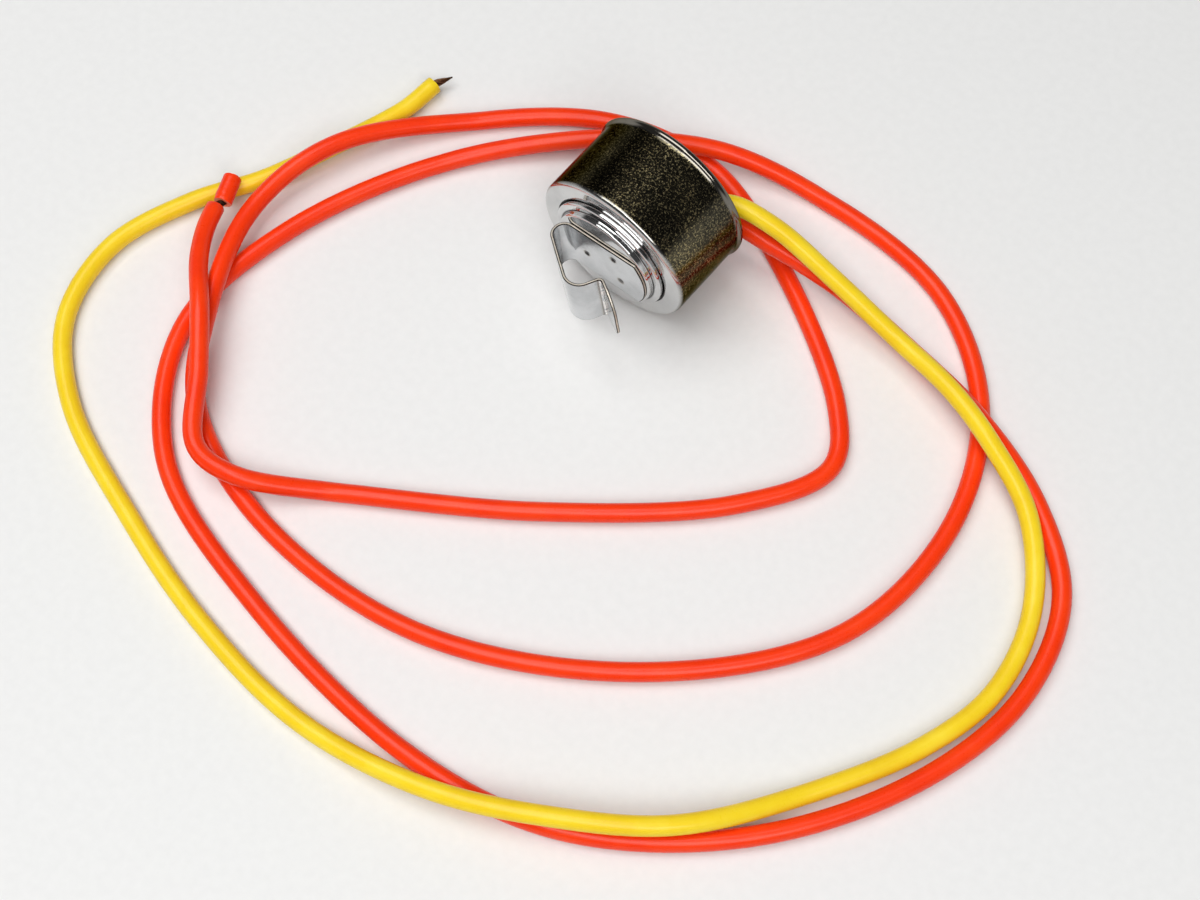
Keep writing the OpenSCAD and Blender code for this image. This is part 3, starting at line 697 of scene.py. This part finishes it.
def cap_steel():
    """Drawn steel, smooth on the treads, with painted shade in the corners at their feet."""
    made, tree, shader, node = material("cap_steel")
    place = object_place(tree)
    cloud = noise_of(tree, node, place, 150.0, 4.0, 0.6)
    fine = noise_of(tree, node, place, 1800.0, 3.0, 0.6)
    about = node("ShaderNodeMapping")
    about.inputs["Scale"].default_value = (100, 0, 100)
    about.inputs["Location"].default_value = (0, 0, -100 * AXIS_Z * MM)
    tree.links.new(place, about.inputs["Vector"])
    steel = ramp(tree, cloud, tones((0.50, 0.50, 0.50), (0.62, 0.62, 0.62), (0.74, 0.74, 0.73), 0.55))
    # painted shade in the corners: a dark ring at the foot of the face and dark past the outer tread's edge
    # the stops are distances from the can's axis in centimetres
    corner_shade = ramp(tree, length_of(tree, about.outputs["Vector"]), [
        (0.0, grey(1.0)), (0.836, grey(1.0)), (0.842, grey(0.05)), (0.858, grey(0.07)), (0.876, grey(1.0)),
        (0.9605, grey(1.0)), (0.9615, grey(0.03))])
    tree.links.new(mixed(tree, 1.0, steel, corner_shade, "MULTIPLY"), shader.inputs["Base Color"])
    tree.links.new(ramp(tree, fine, [(0.3, grey(0.05)), (0.7, grey(0.11))]), shader.inputs["Roughness"])
    bumped(tree, shader, node, fine, 0.015, 0.00001)
    shader.inputs["Metallic"].default_value = 1.0
    return made


def clip_steel():
    """Bright spring steel with long grain, a brown tint from welding round each spot, painted shade in a thin
    line on each side of the lip's fold, and a painted highlight along the fold."""
    made, tree, shader, node = material("clip_steel")
    place = object_place(tree)
    cloud = noise_of(tree, node, place, 150.0, 5.0, 0.6)
    fine = noise_of(tree, node, place, 2600.0, 3.0, 0.6)
    lines = noise_of(tree, node, scaled(tree, node, place, (1, 8, 8)), 40.0, 2.0, 0.6)
    highlight_breakup = noise_of(tree, node, scaled(tree, node, place, (1, 1, 0.45)), 2600.0, 2.0)
    steel = ramp(tree, cloud, tones((0.44, 0.45, 0.46), (0.60, 0.61, 0.62), (0.72, 0.73, 0.74), 0.55))
    # a brown heat tint round each weld, and painted shade in a line on each side of the lip's fold
    tinted_and_shaded = ramp(tree, stored(tree, "weld", "Fac"), [
        (0.0, grey(1.0)), (0.12, (0.86, 0.82, 0.76)), (0.5, (0.30, 0.27, 0.25)), (1.0, (0.17, 0.16, 0.16))])
    # a painted highlight along the lip's fold, broken up by noise
    fold_highlight = ramp(tree, stored(tree, "fold_highlight", "Fac"), [(0.2, grey(0.0)), (0.6, grey(1.0))])
    highlight_breaks = ramp(tree, highlight_breakup, [(0.42, grey(0.0)), (0.5, grey(1.0))])
    painted_highlight = mixed(tree, 1.0, fold_highlight, highlight_breaks, "MULTIPLY")
    colour = mixed(tree, 1.0, steel, tinted_and_shaded, "MULTIPLY")
    tree.links.new(mixed(tree, painted_highlight, colour, (0.97, 0.96, 0.93)), shader.inputs["Base Color"])
    polish = ramp(tree, fine, [(0.3, grey(0.12)), (0.7, grey(0.22))])
    tree.links.new(mixed(tree, painted_highlight, polish, grey(0.5)), shader.inputs["Roughness"])
    first = bumped(tree, shader, node, lines, 0.05, 0.00002)
    bumped(tree, shader, node, fine, 0.04, 0.00001, first)
    shader.inputs["Metallic"].default_value = 1.0
    return made


SHELL_STEEL, CAP_STEEL, CLIP_STEEL = shell_steel(), cap_steel(), clip_steel()
CLIP_SHEARED = metal("clip_sheared", tones((0.58, 0.53, 0.45), (0.72, 0.66, 0.57), (0.84, 0.79, 0.70), 0.55),
                     (0.45, 0.6), (12, 12, 12), 700.0, 2600.0, 0.05)
# near-black steel on the edge's round corners: painted shade
CLIP_EDGE_SHADE = metal("clip_edge_shade", tones((0.018, 0.015, 0.012), (0.035, 0.028, 0.022), (0.07, 0.055, 0.045), 0.55),
                  (0.3, 0.5), (12, 12, 12), 700.0, 2600.0, 0.06)

# Can and cap

# Points round the axis, the bevel inside the can's shoulder, and the fillet at the foot of the cap's face
ROUND, INNER_BEVEL, ROOT_R = 288, 0.3, 0.14


def can():
    """The drawn can: front ring with a turned-in hole edge, rounded shoulder, side and rolled rim."""
    inner = CAN_R - CAN_WALL
    rim_foot = CAN_LEN - 2 * BEAD_R
    outline = (
        arc(HOLE_R + HOLE_EDGE_R, HOLE_EDGE_R, HOLE_EDGE_R, 180, 270, 5)
        + arc(CAN_R - SHOULDER_R, SHOULDER_R, SHOULDER_R, 270, 360, 12)
        + [(CAN_R, rim_foot - 0.5), (CAN_R + 0.02, rim_foot - 0.22)]
        + arc(RIM_R - BEAD_R, CAN_LEN - BEAD_R, BEAD_R, -48, 180, 16)
        + [(inner, CAN_LEN - 1.3), (inner, CAN_WALL + INNER_BEVEL), (inner - INNER_BEVEL, CAN_WALL),
           (HOLE_R, CAN_WALL)])
    points, faces = turned(stretch(outline, 0.7), ROUND, wobble=0.010, seed=2.0)
    new_piece("can_shell", points, faces, SHELL_STEEL, "outer_shell", sharp=55)


def cap():
    """The stepped sensing cap: two treads with rounded edges, small root fillets, skirt and crimp."""
    skirt_r, crimp_r, step_r = CAP_R - CAP_WALL, CAP_R - CRIMP_REACH, FACE_R - CAP_WALL
    outline = (
        [(0, -FACE_TOP)]
        + arc(FACE_R - CAP_EDGE_R, -FACE_TOP + CAP_EDGE_R, CAP_EDGE_R, 270, 360, 9)
        + arc(FACE_R + ROOT_R, -STEP_RISE - ROOT_R, ROOT_R, 180, 90, 5)
        + arc(CAP_R - CAP_EDGE_R, -STEP_RISE + CAP_EDGE_R, CAP_EDGE_R, 270, 360, 9)
        + [(CAP_R, SKIRT_DEPTH), (crimp_r, SKIRT_DEPTH), (crimp_r, SKIRT_DEPTH - CAP_WALL),
           (skirt_r, SKIRT_DEPTH - CAP_WALL), (skirt_r, -STEP_RISE + CAP_WALL), (step_r, -STEP_RISE + CAP_WALL),
           (step_r, -FACE_TOP + CAP_WALL), (0, -FACE_TOP + CAP_WALL)])
    points, faces = turned(stretch(outline, 0.6), ROUND, wobble=0.006, seed=7.0)
    new_piece("cap_face", points, faces, CAP_STEEL, "sensing_cap")


can()
cap()

# Tube clip

# Rows of points across the strip, and the steps along it: on the pad, on other runs, and in degrees on bends
CLIP_ROWS, PAD_STEP, RUN_STEP, BEND_STEP = 46, 0.2, 0.3, 5
# How far from the strip's start and from its end the rows are drawn out or in to meet its round outline
START_REACH, STOP_REACH = 4.0, 5.0
# A weld's mark: the radius of its heat, the depth and radius of its dent, and the ridge round that
WELD_HEAT_R, DENT_DEPTH, DENT_R, RIDGE_RISE, RIDGE_R, RIDGE_W = 0.52, 0.17, 0.42, 0.03, 0.75, 0.2
# The painted highlight along the lip's fold, and the tone, place and width of the painted shade in the crease
# on each side of it
FOLD_HIGHLIGHT_W, CREASE_SHADE, CREASE_AT, CREASE_W = 0.26, 0.42, 0.5, 0.13


def clip_sheet():
    """The middle sheet of the clip's strip, bent from one path, the direction of its thickness, and how far
    each row of points lies past the lip's fold. Its pad ends on a round edge and its tongue has rounded
    corners."""
    half_w, half_t = CLIP_W / 2 - CLIP_EDGE, CLIP_T / 2
    # the length of each straight run, and the radius and angle of the bend after it
    steps = [(PAD_R + PAD_SIDE, SIDE_BEND_R, -(180 - LEG_SLOPE)),
             (LEG_LEN, CURL_R, -(LEG_SLOPE + RETURN_SLOPE)),
             (RETURN_LEN, LIP_R, RETURN_SLOPE + TONGUE_SLOPE),
             (TONGUE_LEN, 0, 0)]
    at, heading = np.array([PAD_R, FACE_TOP + half_t]), 180.0
    middle, headings = [], []
    for n, (length, r, bend) in enumerate(steps):
        d = np.array([math.cos(math.radians(heading)), math.sin(math.radians(heading))])
        parts = max(8, round(length / (RUN_STEP if n else PAD_STEP)))
        for k in range(parts if r else parts + 1):
            middle.append(at + d * length * k / parts)
            headings.append(heading)
        at = at + d * length
        if r:
            side = math.copysign(r, bend)
            centre = at + side * np.array([-d[1], d[0]])
            parts = max(8, round(abs(bend) / BEND_STEP))
            for k in range(parts):
                h = math.radians(heading + bend * k / parts)
                middle.append(centre + side * np.array([math.sin(h), -math.cos(h)]))
                headings.append(math.degrees(h))
            heading += bend
            h = math.radians(heading)
            at = centre + side * np.array([math.sin(h), -math.cos(h)])
    middle = np.array(middle)
    along = np.concatenate([[0], np.cumsum(np.linalg.norm(np.diff(middle, axis=0), axis=1))])
    whole = along[-1]

    def start_of(v):
        return CLIP_EDGE + PAD_R - math.sqrt(PAD_R ** 2 - v ** 2)

    def stop_of(v):
        over = max(0.0, abs(v) - (half_w - TONGUE_CORNER_R))
        return whole - CLIP_EDGE - (TONGUE_CORNER_R - math.sqrt(max(0.0, TONGUE_CORNER_R ** 2 - over ** 2)))

    head = np.unwrap(np.radians(headings))
    early, late = START_REACH, whole - STOP_REACH
    grid = np.zeros((len(middle), CLIP_ROWS + 1, 3))
    normal = np.zeros((len(middle), CLIP_ROWS + 1, 3))
    for j in range(CLIP_ROWS + 1):
        # the rows lie closer together towards the strip's edges
        u = 2 * j / CLIP_ROWS - 1
        v = half_w * (0.75 * u + 0.25 * math.sin(u * math.pi / 2))
        first, last = start_of(v), stop_of(v)
        for i, reach in enumerate(along):
            if reach < early:
                reach = first + (early - first) * reach / early
            elif reach > late:
                reach = late + (last - late) * (reach - late) / (whole - late)
            x = np.interp(reach, along, middle[:, 0])
            y = np.interp(reach, along, middle[:, 1])
            h = np.interp(reach, along, head)
            grid[i, j] = (x, y, v)
            normal[i, j] = (math.sin(h), -math.cos(h), 0)
    lip_length = LIP_R * math.radians(RETURN_SLOPE + TONGUE_SLOPE)
    return grid, normal, along - (whole - TONGUE_LEN - lip_length / 2)


def clip():
    """The strip's two skins, with the dents of the welds in the front one, and its edge: a sheared band between
    round corners dark with painted shade."""
    grid, normal, past_fold = clip_sheet()
    count_i, count_j = grid.shape[:2]
    half_t = CLIP_T / 2
    points, tints_and_shades, fold_highlight = [], [], []
    for side in (1, -1):
        for i in range(count_i):
            d = abs(past_fold[i])
            # painted highlight along the lip's fold, and painted shade in a line on each side of it
            painted_highlight = math.exp(-(d / FOLD_HIGHLIGHT_W) ** 4)
            crease_shade = CREASE_SHADE * math.exp(-((d - CREASE_AT) / CREASE_W) ** 2)
            for j in range(count_j):
                p = grid[i, j]
                ripple = 0.03 * noise.noise(Vector((p[0] * 0.16, p[1] * 0.16, p[2] * 0.2))) * min(1, i / 12)
                lift, tint_and_shade = side * half_t + ripple, crease_shade
                if side == 1 and p[1] < FACE_TOP + CLIP_T and p[0] > -PAD_SIDE:
                    for wx, wz in WELD_SPOTS:
                        away = math.hypot(p[0] - wx, -p[2] - wz)
                        tint_and_shade = max(tint_and_shade, math.exp(-(away / WELD_HEAT_R) ** 4))
                        lift += (RIDGE_RISE * math.exp(-((away - RIDGE_R) / RIDGE_W) ** 2)
                                 - DENT_DEPTH * math.exp(-(away / DENT_R) ** 2))
                points.append(p + lift * normal[i, j])
                tints_and_shades.append(tint_and_shade)
                fold_highlight.append(painted_highlight)
    other = count_i * count_j
    faces = []
    for first in (0, other):
        for i in range(count_i - 1):
            for j in range(count_j - 1):
                a = first + i * count_j + j
                faces.append((a, a + 1, a + count_j + 1, a + count_j))
    skins = len(faces)
    # once round the sheet, with the direction out of it
    around = [
        *[(0, j) for j in range(count_j)], *[(i, count_j - 1) for i in range(1, count_i)],
        *[(count_i - 1, j) for j in range(count_j - 2, -1, -1)], *[(i, 0) for i in range(count_i - 2, 0, -1)]]
    outward = []
    for k, (i, j) in enumerate(around):
        out = np.cross(grid[around[(k + 1) % len(around)]] - grid[around[k - 1]], normal[i, j])
        outward.append(out / np.linalg.norm(out))
    middle_of_side = around.index((count_i // 2, count_j - 1))
    if outward[middle_of_side][2] < 0:
        outward = [-out for out in outward]
    # the edge's section: a round corner, the flat sheared band and a round corner
    corner = [(CLIP_EDGE * math.sin(a), half_t - CLIP_EDGE * (1 - math.cos(a)))
              for a in map(math.radians, (30, 60, 90))]
    edge = [i * count_j + j for i, j in around]
    rows = [edge]
    for out, rise in corner + [(out, -rise) for out, rise in reversed(corner)]:
        rows.append(list(range(len(points), len(points) + len(edge))))
        for k, a in enumerate(edge):
            points.append((points[a] + points[other + a]) / 2 + out * outward[k] + rise * normal[around[k]])
        tints_and_shades += [0.0] * len(edge)
        fold_highlight += [0.0] * len(edge)
    faces += skin([*rows, [other + a for a in edge]])
    turn = math.radians(-CLIP_TURN)
    c, s = math.cos(turn), math.sin(turn)
    placed = [(x * c - z * s, FRONT_Y - y, AXIS_Z - x * s - z * c) for x, y, z in points]
    piece = new_piece("clip_strip", placed, faces, CLIP_STEEL, "tube_clip")
    piece.data.materials.append(CLIP_SHEARED)
    piece.data.materials.append(CLIP_EDGE_SHADE)
    # the flat band of the edge is sheared steel, and its round corners get the painted shade
    for n in range(skins, len(faces)):
        piece.data.polygons[n].material_index = 1 if (n - skins) // len(edge) == len(corner) else 2
    piece.data.attributes.new("weld", "FLOAT", "POINT").data.foreach_set("value", tints_and_shades)
    piece.data.attributes.new("fold_highlight", "FLOAT", "POINT").data.foreach_set("value", fold_highlight)


clip()

# Filling behind the leads
RESIN = moulded("cast_resin", tones((0.010, 0.010, 0.011), (0.022, 0.021, 0.020), (0.045, 0.042, 0.040)),
                (0.18, 0.4), 260.0, 0.1)
# Points round the filling, and how high and how wide it climbs at the can's wall and at each lead
FILL_ROUND, WALL_CLIMB, WALL_W, LEAD_CLIMB, LEAD_W = 160, 0.85, 0.42, 0.75, 0.5
# How far the filling keeps from the can's wall, from the cap's skirt and the base's hub, and from its back
WALL_GAP, SKIRT_GAP, BASE_GAP = 0.005, 0.05, 0.03


def filling():
    """The cast filling: its surface climbs the can's wall and both leads and sags a little between them."""
    inner = CAN_R - CAN_WALL - WALL_GAP
    mouths = [(x, rise + WIRE_R - AXIS_Z) for x, _, rise in (YELLOW_ROUTE[0], ORANGE_ROUTE[0])]
    points, rows = [], []

    def surface(r, x, z):
        climb = WALL_CLIMB * math.exp(-(inner - r) / WALL_W)
        for mx, mz in mouths:
            away = max(0.0, math.hypot(x - mx, z - mz) - WIRE_R)
            climb += LEAD_CLIMB * math.exp(-away / LEAD_W)
        return FILL_SURFACE + climb + 0.10 * noise.noise(Vector((x * 0.35, z * 0.35, 4.0))) - 0.05

    def ring(r, depth=None):
        row = []
        for k in range(FILL_ROUND if r else 1):
            turn = 2 * math.pi * k / FILL_ROUND
            x, z = r * math.sin(turn), r * math.cos(turn)
            row.append(len(points))
            points.append((x, FRONT_Y + (surface(r, x, z) if depth is None else depth), AXIS_Z + z))
        rows.append(row if r else row * FILL_ROUND)

    flat, climbing = np.linspace(0.25, inner - 1.4, 52), np.linspace(inner - 1.3, inner, 14)
    for r in sorted({0.0, *flat.round(3), *climbing.round(3)}):
        ring(r)
    for r in (inner, HUB_R + SKIRT_GAP):
        ring(r, SKIRT_DEPTH + SKIRT_GAP)
    for r in (HUB_R + SKIRT_GAP, 0):
        ring(r, BASE_BACK + BASE_GAP)
    new_piece("filling", points, skin(rows), RESIN, "potting")


filling()

# Inner pieces, which all keep their CAD shapes but the snap disc
INNER = {
    "bimetal_disc": metal("bimetal", tones((0.36, 0.33, 0.24), (0.52, 0.48, 0.36), (0.62, 0.58, 0.46)),
                          (0.2, 0.4), (1, 1, 12)),
    "pin_guide": moulded("guide_plastic", tones((0.075, 0.036, 0.018), (0.12, 0.06, 0.03), (0.17, 0.09, 0.05)),
                         (0.4, 0.6)),
    "transfer_pin": moulded("pin_ceramic", tones((0.70, 0.66, 0.56), (0.80, 0.77, 0.68), (0.86, 0.84, 0.78)),
                            (0.25, 0.45)),
    "switch_base": moulded("base_plastic", tones((0.03, 0.018, 0.012), (0.055, 0.033, 0.022),
                                                 (0.09, 0.055, 0.04)), (0.4, 0.6)),
    "contact_arm": metal("arm_bronze", tones((0.50, 0.27, 0.11), (0.64, 0.36, 0.16), (0.76, 0.48, 0.25)),
                         (0.2, 0.36), (1, 12, 12)),
    "moving_contact": metal("contact_silver", tones((0.60, 0.59, 0.56), (0.78, 0.77, 0.74), (0.88, 0.87, 0.84)),
                            (0.22, 0.4)),
    "fixed_terminal": metal("terminal_brass", tones((0.46, 0.32, 0.13), (0.62, 0.45, 0.20), (0.74, 0.58, 0.31)),
                            (0.2, 0.38), (1, 12, 1)),
    "sealing_ring": moulded("seal_rubber", tones(grey(0.05), grey(0.085), grey(0.13)), (0.55, 0.75)),
    "yellow_tail": metal("copper", tones((0.50, 0.20, 0.10), (0.68, 0.30, 0.17), (0.80, 0.42, 0.27)),
                         (0.22, 0.42), (12, 1, 12)),
}
SAME = {"fixed_contact": "moving_contact", "arm_terminal": "fixed_terminal", "arm_rivet": "fixed_terminal",
        "orange_tail": "yellow_tail"}
for name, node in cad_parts.items():
    paint = INNER.get(SAME.get(name, name))
    if paint:
        for holder in node.material_slots:
            holder.material = paint


def snap_disc():
    """The snap disc: a thin shallow dome, turned about the can's axis, with a mesh of its own."""
    shelf = CAP_WALL - STEP_RISE
    curve_r = (DISC_R ** 2 + DISC_DOME ** 2) / (2 * DISC_DOME)
    front = [(r, shelf + DISC_DOME - curve_r + math.sqrt(curve_r ** 2 - r ** 2))
             for r in np.linspace(0, DISC_R, 25)]
    back = [(r, depth + DISC_T) for r, depth in reversed(front)]
    points, faces = turned(front + back, 120)
    piece = new_piece("snap_disc", points, faces, INNER["bimetal_disc"], "bimetal_disc", sharp=30)
    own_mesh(piece)


snap_disc()
